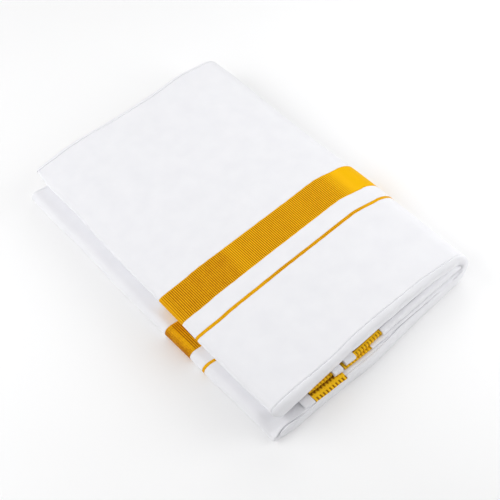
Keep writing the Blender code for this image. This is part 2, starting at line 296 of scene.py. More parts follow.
def ring_outward(places):
    """Directions out of the cloth at ring points, square to the ring."""
    step = np.roll(places, -1, axis=-2) - np.roll(places, 1, axis=-2)
    length = np.hypot(step[..., 0], step[..., 2])
    return np.stack([-step[..., 2] / length, np.zeros(length.shape), step[..., 0] / length], axis=-1)


# ---------------------------------------------------------------- creases and rolls
# Soft troughs and ridges on the upper face.
#   across, along, half length, half width, angle in degrees, height
TOP_CREASES = (
    (0.045, 0.225, 0.050, 0.010, 60.0, -0.00035),
    (0.085, 0.205, 0.045, 0.012, 35.0, -0.00030),
    (0.120, 0.250, 0.060, 0.014, 75.0, 0.00030),
    (0.070, 0.280, 0.055, 0.012, 10.0, 0.00025),
    (0.150, 0.185, 0.050, 0.012, 50.0, -0.00025),
    (0.110, 0.055, 0.060, 0.013, 25.0, -0.00030),
    (0.045, 0.050, 0.040, 0.012, 65.0, 0.00030),
    (0.160, 0.035, 0.050, 0.010, -15.0, 0.00025),
    (0.028, 0.160, 0.045, 0.008, 85.0, -0.00030),
    (0.175, 0.270, 0.050, 0.012, 100.0, -0.00030),
)
BROAD_ROLL, FINE_ROLL, SIDE_ROLL = 0.00022, 0.00007, 0.00030    # how high the cloth's even unevenness is


def cloth_relief(places, outward):
    """How far the outer cloth stands out from its plain form."""
    across, along, height = np.moveaxis(places, -1, 0)
    top = smooth_step(0.5, 1.0, outward[..., 2]) * smooth_step(0.027, 0.030, height)
    relief = np.zeros(across.shape)
    for x, y, long, wide, angle, rise in TOP_CREASES:
        relief += rise * bump_at(across, along, (x, y), (long, wide), math.radians(angle)) * top
    relief += BROAD_ROLL * rolling(across, along, 11, 0.060) * top
    relief += FINE_ROLL * rolling(across, along, 12, 0.016) * top
    sideways = np.clip(1.0 - np.abs(outward[..., 2]), 0.0, 1.0)
    relief += SIDE_ROLL * rolling(along, height * 3.0, 13, 0.045) * sideways
    return relief * smooth_step(0.0006, 0.004, height)


# ---------------------------------------------------------------- end folds
# Pressed creases, where an end's fold begins to roll over: how far behind its end line.
#   across, upper front, lower front, upper back, lower back
END_CREASES = (
    (-0.010, 0.0035, 0.0000, 0.0040, 0.0010),
    (-0.003, 0.0046, 0.0008, 0.0050, 0.0025),
    (0.0015, 0.0051, 0.0034, 0.0054, 0.0034),
    (0.0075, 0.0059, 0.0043, 0.0057, 0.0042),
    (0.0135, 0.0066, 0.0033, 0.0058, 0.0045),
    (0.0185, 0.0069, 0.0022, 0.0059, 0.0046),
    (0.0256, 0.0068, 0.0012, 0.0060, 0.0045),
    (0.045, 0.0059, 0.0030, 0.0056, 0.0040),
    (0.065, 0.0054, 0.0034, 0.0049, 0.0042),
    (0.095, 0.0062, 0.0040, 0.0055, 0.0047),
    (0.130, 0.0058, 0.0042, 0.0060, 0.0043),
    (0.160, 0.0053, 0.0030, 0.0053, 0.0039),
    (0.175, 0.0045, 0.0028, 0.0048, 0.0036),
    (0.188, 0.0042, 0.0026, 0.0046, 0.0035),
    (0.195, 0.0040, 0.0014, 0.0045, 0.0034),
)
CREASE_DEPTH = 0.0011
CREASE_HALF_WIDTH = 0.00042
CORNER_CREASE, CORNER_CREASE_END = 1.8, 0.028    # how much deeper it is at the lower left corner
PILLOW_RISE, PILLOW_REACH, PILLOW_HALF_WIDTH = 0.00006, 0.0015, 0.0009
NOSE = 0.0090                 # the end folds are drawn from this far along
ROLL_UNDER = 0.0021           # reach of an end's roll on the side that rests
# The same on the upper lobe's underside: across, reach.
UPPER_ROLL_UNDER = (
    (0.000, 0.0048),
    (0.040, 0.0058),
    (0.070, 0.0078),
    (0.100, 0.0078),
    (0.120, 0.0058),
    (0.200, 0.0054),
)
EYE_ROLL = 0.0020
EYE_NEAR, EYE_FAR = 0.190, 0.1955
ROLL_SQUARENESS, UNDERSIDE_SQUARENESS = 2.3, 2.1
UPPER_CORNER, LOWER_CORNER = 0.0050, 0.0020      # how far in an end's roll rounds off at its left
FLAT_STEPS, ROLL_STEPS = 16, 20

# Pressed lines across the end folds, between the layers.
#   end, upper lobe or not, height from 1 to -1, depth, half width, starts across, ends across
END_LAYERS = (
    ("front", True, 0.42, 0.0007, 0.09, 0.085, 0.190),
    ("front", True, 0.08, -0.0010, 0.22, 0.085, 0.192),
    ("front", False, -0.15, 0.0005, 0.07, 0.060, 0.160),
    ("back", True, 0.35, 0.0007, 0.07, 0.000, 0.140),
    ("back", True, -0.25, 0.0009, 0.07, 0.030, 0.190),
    ("back", False, 0.30, 0.0007, 0.07, 0.010, 0.120),
    ("back", False, -0.30, 0.0008, 0.07, 0.060, 0.190),
)
LAYER_FADE = 0.010            # how far past its ends a pressed line fades out
LAYER_WAVES = 0.00025         # how deep the end folds' own unevenness is


def end_rolls(outer_rows, outer_across, inner_across, at_front):
    """Where an end's fold begins to roll over, and how far round the spine each pair is.

    The first is a distance behind the end line, on the outer and on the inner side.  The
    second runs from 0 on the upper lobe to 1 on the lower.
    """
    column = 1 if at_front else 3
    spine = outer_rows[:, 0] == SPINE
    upper = outer_rows[:, 1] > 0.5
    top = line_through(END_CREASES, column, outer_across)
    ledge = line_through(END_CREASES, column + 1, inner_across)
    near_eye = smooth_step(EYE_NEAR, EYE_FAR, inner_across)
    down = np.where(spine, outer_rows[:, 2] / math.pi, np.where(upper, 0.0, 1.0))
    outer = top + (ROLL_UNDER - top) * smooth_step(0.0, 0.7, down)
    under = line_through(UPPER_ROLL_UNDER, 1, inner_across)
    inner = np.where(upper, under, ledge) * (1.0 - near_eye) + EYE_ROLL * near_eye
    return (outer, np.where(spine, EYE_ROLL, inner)), down


def roll_path():
    """Stages down an end's fold, from NOSE on its outer side to NOSE on its inner side.

    Each is a side, 0 outer or 1 inner, the share of the way from NOSE to where the roll
    begins, and the angle round the roll.
    """
    flat = 1.0 - (1.0 - np.linspace(0.0, 1.0, FLAT_STEPS + 1)[1:]) ** 1.5
    quarter = math.pi / 2.0 * np.linspace(0.0, 1.0, ROLL_STEPS + 1)[1:] ** 1.6
    outer = [(0, share, 0.0) for share in flat] + [(0, 1.0, angle) for angle in quarter]
    inner = [(1, 1.0, angle) for angle in quarter[::-1][1:]] + [(1, share, 0.0) for share in flat[::-1]]
    return outer + inner


def end_fold(rows, pairs, tips, at_front, rim):
    """Points round an end fold: a row for each stage of its roll, a point for each pair."""
    sides = ([pair[0] for pair in pairs], [pair[1] for pair in pairs])
    near_end = np.array([NOSE if at_front else PACKET_LENGTH - NOSE])
    ring = place_ring(rows, near_end)[0]
    outward = ring_outward(ring)
    spine_across = line_through(SIDE_LINES, 3, near_end)[0] - SPINE_RADIUS
    way = 1.0 if at_front else -1.0
    faces, ends = (ring[sides[0]], ring[sides[1]]), []
    for side, places in zip(sides, faces):
        turn = turn_at(rows[side, 0], rows[side, 1] > 0.5, places[:, 0], rows[side, 2])
        front, back = end_lines(np.where(rows[side, 0] == SPINE, spine_across, places[:, 0]), turn)
        ends.append(front if at_front else back)
    rolls, down = end_rolls(rows[sides[0]], faces[0][:, 0], faces[1][:, 0], at_front)
    thick = np.linalg.norm(faces[0] - faces[1], axis=1)
    thin_edge = np.clip(thick / LOBE_THICKNESS, 0.0, 1.0) ** 0.45
    on_lobe, upper = rows[sides[0], 0] != SPINE, rows[sides[0], 1] > 0.5
    edge = np.where(upper, ring[tips[0], 0], ring[tips[1], 0])
    from_edge = (faces[0][:, 0] + faces[1][:, 0]) / 2.0 - edge
    near_edge = np.clip(1.0 - from_edge / np.where(upper, UPPER_CORNER, LOWER_CORNER), 0.0, 1.0)
    rounding = np.where(on_lobe, 1.0 - np.sqrt(1.0 - near_edge ** 2), 0.0)
    corner = CORNER_CREASE * at_front * (1.0 - smooth_step(0.0, CORNER_CREASE_END, faces[1][:, 0]))
    grid = []
    for side, flat, angle in roll_path():
        power = 2.0 / np.where(upper & (side == 1), UNDERSIDE_SQUARENESS, ROLL_SQUARENESS)
        rise = math.cos(angle) ** power * (1.0 - 2.0 * side)
        reach = math.sin(angle) ** power if angle else np.zeros(len(pairs))
        roll = rolls[side] * thin_edge
        room = (faces[side][:, 1] - ends[side]) * way
        behind = roll * (1.0 - reach * (1.0 - rounding)) + (room - roll) * (1.0 - flat)
        share = (1.0 - rise)[:, None] / 2.0
        point = faces[0] * (1.0 - share) + faces[1] * share
        point[:, 1] = ends[0] * (1.0 - share[:, 0]) + ends[1] * share[:, 0] + behind * way
        point += (rim[sides[side]] - ring[sides[side]]) * np.abs(rise)[:, None]
        crease = PILLOW_RISE * np.exp(-((behind - roll - PILLOW_REACH) / PILLOW_HALF_WIDTH) ** 2)
        deeper = 1.0 + corner * side
        crease -= CREASE_DEPTH * deeper * np.exp(-((behind - roll) / CREASE_HALF_WIDTH) ** 2)
        shows = (down > 0.99) if side else 1.0 - smooth_step(0.05, 0.5, down)
        crease *= shows * smooth_step(0.2, 0.6, np.abs(rise)) * np.minimum(1.0, roll / 0.0008)
        point += outward[sides[side]] * crease[:, None]
        pressed = LAYER_WAVES * rolling(point[:, 0], point[:, 2] * 2.0, 23, 0.030) * (1.0 - rise * rise)
        for name, of_upper, level, depth, wide, first, last in END_LAYERS:
            if (name == "front") != at_front:
                continue
            level = level if of_upper else -level
            there = on_lobe & (upper == of_upper)
            fade = smooth_step(first - LAYER_FADE, first, point[:, 0])
            fade = fade * (1.0 - smooth_step(last, last + LAYER_FADE, point[:, 0]))
            pressed = pressed + there * fade * depth * np.exp(-((rise - level) / wide) ** 2)
        point[:, 1] += pressed * way
        point[:, 2] = np.maximum(point[:, 2], 0.0)
        grid.append(point)
    return np.array(grid)


def mesh_object(name, vertices, faces, material, smooth=True):
    mesh = bpy.data.meshes.new(name)
    mesh.from_pydata([tuple(v) for v in vertices], [], faces)
    mesh.update()
    mesh.materials.append(material)
    if smooth:
        mesh.shade_smooth()
    made = bpy.data.objects.new(name, mesh)
    bpy.context.scene.collection.objects.link(made)
    return made


def store_cloth_map(made, across, along, strength):
    """Distances round and along the cloth, for the weave to follow, and a third value.

    That is how strong the ribs and the painted shade in their gaps are on the outer cloth, and how dark a
    ply is with its ticks and painted shade.
    """
    layer = made.data.attributes.new("cloth_at", "FLOAT_VECTOR", "POINT")
    flat = np.zeros((len(made.data.vertices), 3), np.float32)
    flat[:, 0], flat[:, 1], flat[:, 2] = across, along, strength
    layer.data.foreach_set("vector", flat.ravel())


def thicken(made, thickness):
    shell = made.modifiers.new("thickness", "SOLIDIFY")
    shell.thickness = thickness
    shell.offset = -1.0
    shell.use_even_offset = False


# The part's origin, in packet coordinates: the middle of the packet's footprint.
PART_ORIGIN = np.array([0.100036, 0.152982, 0.0])


def to_part(places):
    """From packet coordinates to the part's frame."""
    return np.asarray(places) - PART_ORIGIN


def round_ring(places):
    """Distance round a ring at each of its points."""
    steps = np.linalg.norm(np.diff(places, axis=0), axis=1)
    return np.concatenate([[0.0], np.cumsum(steps)])


def facing_pairs(stations, fold_steps):
    """Ring points that face each other through the thickness, and the two edge tips."""
    half = fold_steps // 2
    pairs = [(2 * stations + 2 * fold_steps - 1 - step, 2 * stations + fold_steps + step)
             for step in range(half)][::-1]
    pairs += [(step, 2 * stations + fold_steps - 1 - step) for step in range(stations)]
    pairs += [(stations + step, stations + fold_steps - 1 - step) for step in range(half)]
    return pairs, (2 * stations + fold_steps + half, stations + half)


def rib_strength(rows, across):
    """How strongly the zari's ribs stand out, and how dark the painted shade in their gaps is: less where
    the cloth bends, on the lower lobe's outer roll, and near the spine, under the painted highlight.
    """
    kind, upper, outer = rows[:, 0], rows[:, 1] > 0.5, rows[:, 3] > 0
    top = 1.0 + 1.1 * smooth_step(0.065, 0.080, across)
    top = top * (1.0 - 0.97 * smooth_step(RIBS_FADE_START, RIBS_FADE_END, across))
    ledge = 0.15 + 0.85 * smooth_step(-0.0080, -0.0050, across)
    lobe = np.where(upper & outer, top, np.where(~upper & ~outer, ledge, 1.0))
    fold = np.where(upper, 0.8 - 0.5 * smooth_step(0.0, 0.4, rows[:, 2]), 0.15)
    return np.where(kind == LOBE, lobe, np.where(kind == FOLD, fold, 0.1))


def cloth_stretch(name, rows, alongs, material, thickness, rise=0.0, ribs=0.0, folded_ends=()):
    """One stretch of the outer cloth all round the C, with the end folds it is asked for."""
    places = place_ring(rows, alongs)
    count, length = places.shape[1], places.shape[0]
    outward = ring_outward(places)
    around = round_ring(places[length // 2])
    relief = cloth_relief(places, outward) + rise
    strength = np.zeros((length, count))
    if ribs:
        shares = np.linspace(0.0, 1.0, length)[:, None]
        edge = smooth_step(0.0, 0.03, np.minimum(shares, 1.0 - shares))
        # how strong the ribs are, and with them the painted shade in their gaps
        strength = ribs * edge * rib_strength(rows, places[..., 0])
        wave = np.abs(np.sin(math.pi * around / RIB_PITCH)) ** 0.7
        relief = relief + RIB_HEIGHT * (wave[None, :] - 1.0) * np.minimum(strength, 1.0)
    lifted = places + outward * relief[..., None]
    lifted[..., 2] = np.maximum(lifted[..., 2], 0.0)
    if np.ndim(alongs) == 1:
        alongs = np.asarray(alongs)[:, None]
    alongs = np.broadcast_to(alongs, (length, count))
    vertices = [lifted.reshape(-1, 3)]
    map_across, map_along, map_ribs = [np.tile(around, length)], [alongs.ravel()], [strength.ravel()]
    faces = [(row * count + step, row * count + (step + 1) % count,
              (row + 1) * count + (step + 1) % count, (row + 1) * count + step)
             for row in range(length - 1) for step in range(count)]
    total = length * count
    fold_steps = int(np.sum((rows[:, 0] == FOLD) & (rows[:, 1] > 0.5)))
    stations = (count - 2 * fold_steps) // 2
    pairs, tips = facing_pairs(stations, fold_steps)
    for at_front in (True, False):
        if ("front" if at_front else "back") not in folded_ends:
            continue
        ring_start = 0 if at_front else (length - 1) * count
        rim = lifted[ring_start // count]
        grid = end_fold(rows, pairs, tips, at_front, rim)
        steps = len(grid) + 1
        vertices.append(grid.reshape(-1, 3))
        outer_points = [pair[0] for pair in pairs]
        steps_down = np.diff(np.concatenate([rim[None, outer_points], grid]), axis=0)
        run = np.cumsum(np.linalg.norm(steps_down, axis=2), axis=0)
        start = alongs[0 if at_front else -1, outer_points]
        map_across.append(np.tile(around[outer_points], len(grid)))
        map_along.append((start - run if at_front else start + run).ravel())
        map_ribs.append(np.zeros(grid.shape[0] * grid.shape[1]))

        def vertex(pair, step):
            if step == 0:
                return ring_start + pairs[pair][0]
            if step == steps:
                return ring_start + pairs[pair][1]
            return total + (step - 1) * len(pairs) + pair

        for pair in range(len(pairs) - 1):
            for step in range(steps):
                corners = (vertex(pair, step), vertex(pair, step + 1),
                           vertex(pair + 1, step + 1), vertex(pair + 1, step))
                faces.append(corners if at_front else corners[::-1])
        for pair, tip in ((0, tips[0]), (len(pairs) - 1, tips[1])):
            for step in range(steps):
                corners = (ring_start + tip, vertex(pair, step + 1), vertex(pair, step))
                faces.append(corners if at_front == (pair == 0) else corners[::-1])
        total += grid.shape[0] * grid.shape[1]
    made = mesh_object(name, to_part(np.concatenate(vertices)), faces, material)
    store_cloth_map(made, np.concatenate(map_across), np.concatenate(map_along), np.concatenate(map_ribs))
    if ribs:
        # painted light on the gold: a painted highlight towards the spine, painted shade on the lower
        # lobe's roll, one level on the fine line
        on_top = (rows[:, 3] > 0) & ((rows[:, 1] > 0.5) | (rows[:, 0] == SPINE))
        painted_light = line_through(PAINTED_LIGHT_ACROSS, 1, places[..., 0]) * (on_top | (places[..., 0] < 0.0))
        if ribs < 1.0:
            painted_light = np.full(painted_light.shape, LINE_PAINTED_LIGHT)
        layer = made.data.attributes.new("painted_light", "FLOAT", "POINT")
        layer.data.foreach_set("value", painted_light.ravel().astype(np.float32))
    thicken(made, thickness)
    return made


def shares_to(first_part, first_count, whole_count):
    """Shares from 0 to 1, closer together up to first_part."""
    near, far = np.linspace(0.0, first_part, first_count), np.linspace(first_part, 1.0, whole_count)
    return np.concatenate([near, far[1:]])


def cotton_ring():
    top = shares_to(0.05, 8, 66)
    bottom = shares_to(0.05, 8, 66)
    return ring_points(top, 40, bottom, 17, top, bottom)


def zari_ring():
    top = np.linspace(0.0, 1.0, 620)
    hidden = np.linspace(0.0, 1.0, 50)
    ledge = shares_to(0.12, 90, 30)
    return ring_points(top, 90, hidden, 41, ledge, hidden)


def zari_edge(rows, seed, start):
    """Where an edge of the zari runs, at each point of a ring, with a wobble of its own."""
    across = place_ring(rows, np.array([start]))[0][:, 0]
    return start + EDGE_WOBBLE * rolling(across, across * 0.0, seed, EDGE_WOBBLE_LENGTH)


def between(first, last, count):
    shares = np.linspace(0.0, 1.0, count)[:, None]
    return np.asarray(first)[None, :] * (1.0 - shares) + np.asarray(last)[None, :] * shares


def outer_cloth(cotton, zari):
    """The five stretches of the outer cloth, in order from the front."""
    cotton_rows, zari_rows = cotton_ring(), zari_ring()
    plain, gold = ([zari_edge(rows, seed, start) for start, seed in ZARI_EDGES]
                   for rows in (cotton_rows, zari_rows))
    nose = np.full(len(cotton_rows), NOSE)
    front = between(nose, plain[0] + TUCK_UNDER, 50)
    back = between(plain[3] - TUCK_UNDER, PACKET_LENGTH - nose, 110)
    middle = between(plain[1] - TUCK_UNDER, plain[2] + TUCK_UNDER, 12)
    stretches = (
        ("outer_cloth_front", "cloth_front", cotton_rows, front, cotton, 0.0, ("front",)),
        ("outer_zari_line", "zari_line", zari_rows, between(gold[0], gold[1], 6), zari, 0.2, ()),
        ("outer_cloth_between", "cloth_between_zari", cotton_rows, middle, cotton, 0.0, ()),
        ("outer_zari_band", "zari_band", zari_rows, between(gold[2], gold[3], 26), zari, 1.0, ()),
        ("outer_cloth_back", "cloth_back", cotton_rows, back, cotton, 0.0, ("back",)),
    )
    for name, node, rows, alongs, material, ribs, ends in stretches:
        gilt = ribs > 0.0
        thickness, rise = (ZARI_THICKNESS, ZARI_RISE) if gilt else (COTTON_THICKNESS, 0.0)
        piece = cloth_stretch(name, rows, alongs, material, thickness, rise, ribs, ends)
        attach(piece, "root")
        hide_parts(node)


# ---------------------------------------------------------------- inner plies
PLY_LEVELS = {"low": 0.0138, "top": 0.01615}
PLY_THICKNESS = 0.00205
#   name, kind, left, right, level, front at left, front at right, back, nose's reach, lift
INNER_PLIES = (
    ("left_low_plain", "plain", 0.0250, 0.0342, "low", -0.0096, -0.0110, 0.3045, 0.0010, 0.0),
    ("left_low_border", "border", 0.0345, 0.0655, "low", -0.0112, -0.0128, 0.3045, 0.0010, 0.0),
    ("left_top_border", "border", 0.0345, 0.0582, "top", -0.0042, -0.0048, 0.3110, 0.0016, 0.0004),
    ("left_top_tab", "plain", 0.0585, 0.0668, "top", -0.0064, -0.0070, 0.3100, 0.0012, 0.0024),
    ("right_low_border", "border", 0.0695, 0.0970, "low", -0.0066, -0.0076, 0.3030, 0.0010, 0.0),
    ("right_low_plain", "plain", 0.0973, 0.1972, "low", -0.0080, -0.0080, 0.3030, 0.0026, 0.0),
    ("right_top_margin", "plain", 0.0715, 0.0812, "top", -0.0054, -0.0060, 0.3085, 0.0012, 0.0022),
    ("right_top_border", "border", 0.0815, 0.1105, "top", -0.0056, -0.0048, 0.3085, 0.0010, 0.0016),
    ("right_top_plain", "plain", 0.1108, 0.2032, "top", -0.0062, -0.0056, 0.3085, 0.0038, 0.0026),
)
PLY_DEPTH = 0.0290            # how far behind its nose an end's last points lie, deep between the lobes
# Dark on the strips of the side border: the woven ticks, painted shade in a jagged line round the
# nose, and how far behind the front the painted shade at the back begins.  At PLY_DEPTH none of it shows.
STRIP_MARKS_AND_SHADE = {
    "left_low_border": (0.8, 0.0, 0.0060),
    "left_top_border": (0.5, 1.0, PLY_DEPTH),
    "right_low_border": (0.5, 0.2, PLY_DEPTH),
    "right_top_border": (0.6, 0.0, 0.0035),
}
NO_MARKS_OR_SHADE = (0.0, 0.0, PLY_DEPTH)
LIFT_START, LIFT_END = 0.0045, 0.0080         # how far behind its front a ply's raised front fades out
PLY_TAPER_START, PLY_TAPER_END, PLY_TAPERED = 0.1935, 0.2015, 0.25
BORDER_POINTS, PLAIN_POINTS = 0.00025, 0.0010  # from one point of a ply to the next, across
PLY_END_ROUND = 0.0012        # how far in a ply's end rounds off at the spine
SPINE_PLIES = 0.190           # only plies that end past here round off
PLY_WOBBLE, PLY_WOBBLE_LENGTH = 0.0002, 0.012
# How far behind its nose a ply's side has points: close together where its marks are.
PLY_STAGES = (0.0002, 0.0008, 0.0014, 0.0020, 0.0026, 0.0032, 0.0037, 0.0043, 0.0052, 0.0070, PLY_DEPTH)
TICK_BACK, TICK_SOFT = 0.0024, 0.0008         # how far back a strip's ticks reach, and how softly they end
NOSE_SHADE_TOP, NOSE_SHADE_TEETH, NOSE_SHADE_SOFT = 0.05, 0.6, 0.3  # the top of the painted shade round the nose: its height, its teeth and its softness
BACK_SHADE_DARKNESS, BACK_SHADE_SOFT = 0.85, 0.0006      # how dark the painted shade at a strip's back is, and how softly it begins
BACK_SHADE_TEETH = 0.0009      # how far the painted shade's teeth reach forward


def tick_at(across):
    """1 in the middle of each tick of the side border, 0 between them."""
    return 1.0 - smooth_step(0.45, 0.80, np.abs(np.sin(math.pi * across / BORDER_TICK_PITCH)))


def inner_ply(row, materials):
    """A doubled ply between the lobes: a fold of cloth with a round nose at each end."""
    name, kind, left, right, level, front_left, front_right, back, nose, lift = row
    # the ticks' darkness, how dark the painted shade round the nose is, and where the painted shade at the
    # back begins
    ticks, rim, back_shade_start = STRIP_MARKS_AND_SHADE.get(name, NO_MARKS_OR_SHADE)
    pitch = BORDER_POINTS if kind == "border" else PLAIN_POINTS
    across = np.linspace(left, right, max(3, int((right - left) / pitch)))
    share = (across - left) / (right - left)
    front = front_left + (front_right - front_left) * share
    front = front + PLY_WOBBLE * rolling(across, across * 0.0, 21, PLY_WOBBLE_LENGTH)
    near_spine = np.clip((across - right + PLY_END_ROUND) / PLY_END_ROUND, 0.0, 1.0)
    rounding = PLY_END_ROUND * (1.0 - np.sqrt(1.0 - near_spine ** 2)) * (right > SPINE_PLIES)
    thinning = 1.0 - (1.0 - PLY_TAPERED) * np.clip(
        (across - PLY_TAPER_START) / (PLY_TAPER_END - PLY_TAPER_START), 0.0, 1.0)
    radius = PLY_THICKNESS / 2.0
    centre = PLY_LEVELS[level] + radius
    bends = np.linspace(-math.pi / 2.0, math.pi / 2.0, 17)
    deep = [nose + behind for behind in PLY_STAGES]
    # the ply's side: along its top from deep inside to the nose, round it, and back underneath
    outline = [(distance, radius, 0.0) for distance in deep[::-1]]
    outline += [(nose * (1.0 - math.cos(bend)), radius * math.sin(bend), math.cos(bend))
                for bend in bends[::-1]]
    outline += [(distance, -radius, 0.0) for distance in deep]
    on_tick, between_ticks = tick_at(across), tick_at(across + BORDER_TICK_PITCH / 2.0)
    places, marks_and_shades = [], []
    for at_front in (True, False):
        for inward, height, bend in (outline if at_front else outline[::-1]):
            reach = 1.0 - smooth_step(TICK_BACK, TICK_BACK + TICK_SOFT, inward)
            tick = ticks * reach * smooth_step(-0.95, -0.70, height / radius) * on_tick
            notch = BORDER_TICK_DEPTH * tick
            nose_shade_top = NOSE_SHADE_TOP + NOSE_SHADE_TEETH * between_ticks
            above = smooth_step(nose_shade_top - NOSE_SHADE_SOFT, nose_shade_top + NOSE_SHADE_SOFT, height / radius)
            # painted shade on the nose's lower half, jagged between the ticks
            painted_nose_shade = rim * bend ** 0.5 * (1.0 - above)
            teeth = BACK_SHADE_TEETH * between_ticks * (level == "low")
            # painted shade at the strip's back, where it runs in under what lies above it
            painted_back_shade = BACK_SHADE_DARKNESS * smooth_step(back_shade_start, back_shade_start + BACK_SHADE_SOFT, inward + teeth)
            end = front + rounding + notch * bend if at_front else back - notch * bend
            y = end + inward if at_front else end - inward
            lifted = lift * at_front * smooth_step(0.0, 1.0, height / radius)
            lifted = lifted * (1.0 - smooth_step(LIFT_START, LIFT_END, inward))
            z = centre + height + lifted - notch * (1.0 - bend)
            z = PACKET_HEIGHT / 2.0 + (z - PACKET_HEIGHT / 2.0) * thinning
            places.append(np.stack([across, y, z], axis=-1))
            marks_and_shades.append(np.maximum(tick, painted_nose_shade + painted_back_shade))
    grid = np.array(places)
    loops, count = grid.shape[:2]
    faces = []
    for loop in range(loops):
        following = (loop + 1) % loops
        for step in range(count - 1):
            faces.append((loop * count + step, following * count + step,
                          following * count + step + 1, loop * count + step + 1))
    faces.append(tuple(loop * count for loop in range(loops))[::-1])
    faces.append(tuple(loop * count + count - 1 for loop in range(loops)))
    made = mesh_object("inner_" + name, to_part(grid.reshape(-1, 3)), faces, materials[kind])
    made.data.set_sharp_from_angle(angle=math.radians(50.0))
    store_cloth_map(made, np.tile(across, loops), grid[..., 2].ravel(), np.concatenate(marks_and_shades))
    return made


# ---------------------------------------------------------------- materials
def new_material(name):
    material = bpy.data.materials.new(name)
    material.use_nodes = True
    tree = material.node_tree
    return material, tree, tree.nodes["Principled BSDF"]


def add_node(tree, kind, **settings):
    node = tree.nodes.new(kind)
    for key, value in settings.items():
        setattr(node, key, value)
    return node


def math_node(tree, operation, first, second=None):
    node = add_node(tree, "ShaderNodeMath", operation=operation)
    for socket, value in ((node.inputs[0], first), (node.inputs[1], second)):
        if value is None:
            continue
        if isinstance(value, (int, float)):
            socket.default_value = value
        else:
            tree.links.new(value, socket)
    return node.outputs[0]


def cloth_coordinates(tree):
    """What store_cloth_map stored: as a vector, and its three values apart."""
    attribute = add_node(tree, "ShaderNodeAttribute", attribute_name="cloth_at")
    split = add_node(tree, "ShaderNodeSeparateXYZ")
    tree.links.new(attribute.outputs["Vector"], split.inputs[0])
    return attribute.outputs["Vector"], split.outputs["X"], split.outputs["Y"], split.outputs["Z"]


def weighted_sum(tree, first, first_share, second, second_share):
    """Two values added, each times its own share."""
    return math_node(tree, "ADD", math_node(tree, "MULTIPLY", first, first_share),
                     math_node(tree, "MULTIPLY", second, second_share))


def noise(tree, vector, scale, detail=3.0, stretch=None):
    texture = add_node(tree, "ShaderNodeTexNoise")
    texture.inputs["Scale"].default_value = scale
    texture.inputs["Detail"].default_value = detail
    if stretch is not None:
        mapping = add_node(tree, "ShaderNodeMapping")
        mapping.inputs["Scale"].default_value = stretch
        tree.links.new(vector, mapping.inputs["Vector"])
        vector = mapping.outputs["Vector"]
    tree.links.new(vector, texture.inputs["Vector"])
    return texture.outputs["Fac"]


def ramp(tree, value, stops):
    node = add_node(tree, "ShaderNodeValToRGB")
    elements = node.color_ramp.elements
    while len(elements) < len(stops):
        elements.new(0.5)
    for element, (place, colour) in zip(elements, stops):
        element.position = place
        element.color = (*colour, 1.0)
    tree.links.new(value, node.inputs["Fac"])
    return node.outputs["Color"]


def bump(tree, shader, height, strength, distance):
    node = add_node(tree, "ShaderNodeBump")
    node.inputs["Strength"].default_value = strength
    node.inputs["Distance"].default_value = distance
    tree.links.new(height, node.inputs["Height"])
    tree.links.new(node.outputs["Normal"], shader.inputs["Normal"])


def stripes(tree, coordinate, pitch):
    """0 in the gaps and 1 on the crests of threads laid side by side."""
    turns = math_node(tree, "MULTIPLY", coordinate, math.pi / pitch)
    return math_node(tree, "ABSOLUTE", math_node(tree, "SINE", turns))


def cotton_material():
    material, tree, shader = new_material("white cotton cloth")
    vector, across, along, _ = cloth_coordinates(tree)
    warp = stripes(tree, across, WARP_PITCH)
    weft = stripes(tree, along, WEFT_PITCH)
    weave = math_node(tree, "MULTIPLY", warp, weft)
    slubs = noise(tree, vector, FIBRE_SCALE, 2.0, (1.0, 0.12, 1.0))
    slubs_weft = noise(tree, vector, FIBRE_SCALE, 2.0, (0.12, 1.0, 1.0))
    threads = weighted_sum(tree, slubs, 0.8, slubs_weft, 0.8)
    height = math_node(tree, "ADD", math_node(tree, "MULTIPLY", weave, 0.6), threads)
    bump(tree, shader, height, 0.35, THREAD_BUMP)
    tint = noise(tree, vector, 60.0, 2.0)
    colour = ramp(tree, tint, ((0.3, (0.840, 0.840, 0.868)), (0.7, (0.868, 0.868, 0.892))))
    tree.links.new(colour, shader.inputs["Base Color"])
    shader.inputs["Roughness"].default_value = 0.92
    shader.inputs["Specular IOR Level"].default_value = 0.25
    shader.inputs["Sheen Weight"].default_value = 0.20
    shader.inputs["Sheen Roughness"].default_value = 0.45
    return material


def mix(tree, share, first, second):
    """A blend of two colours, from the first at share 0 to the second at 1."""
    node = add_node(tree, "ShaderNodeMix", data_type="RGBA")
    tree.links.new(share, node.inputs[0])
    for socket, value in ((node.inputs[6], first), (node.inputs[7], second)):
        if isinstance(value, tuple):
            socket.default_value = (*value, 1.0)
        else:
            tree.links.new(value, socket)
    return node.outputs[2]


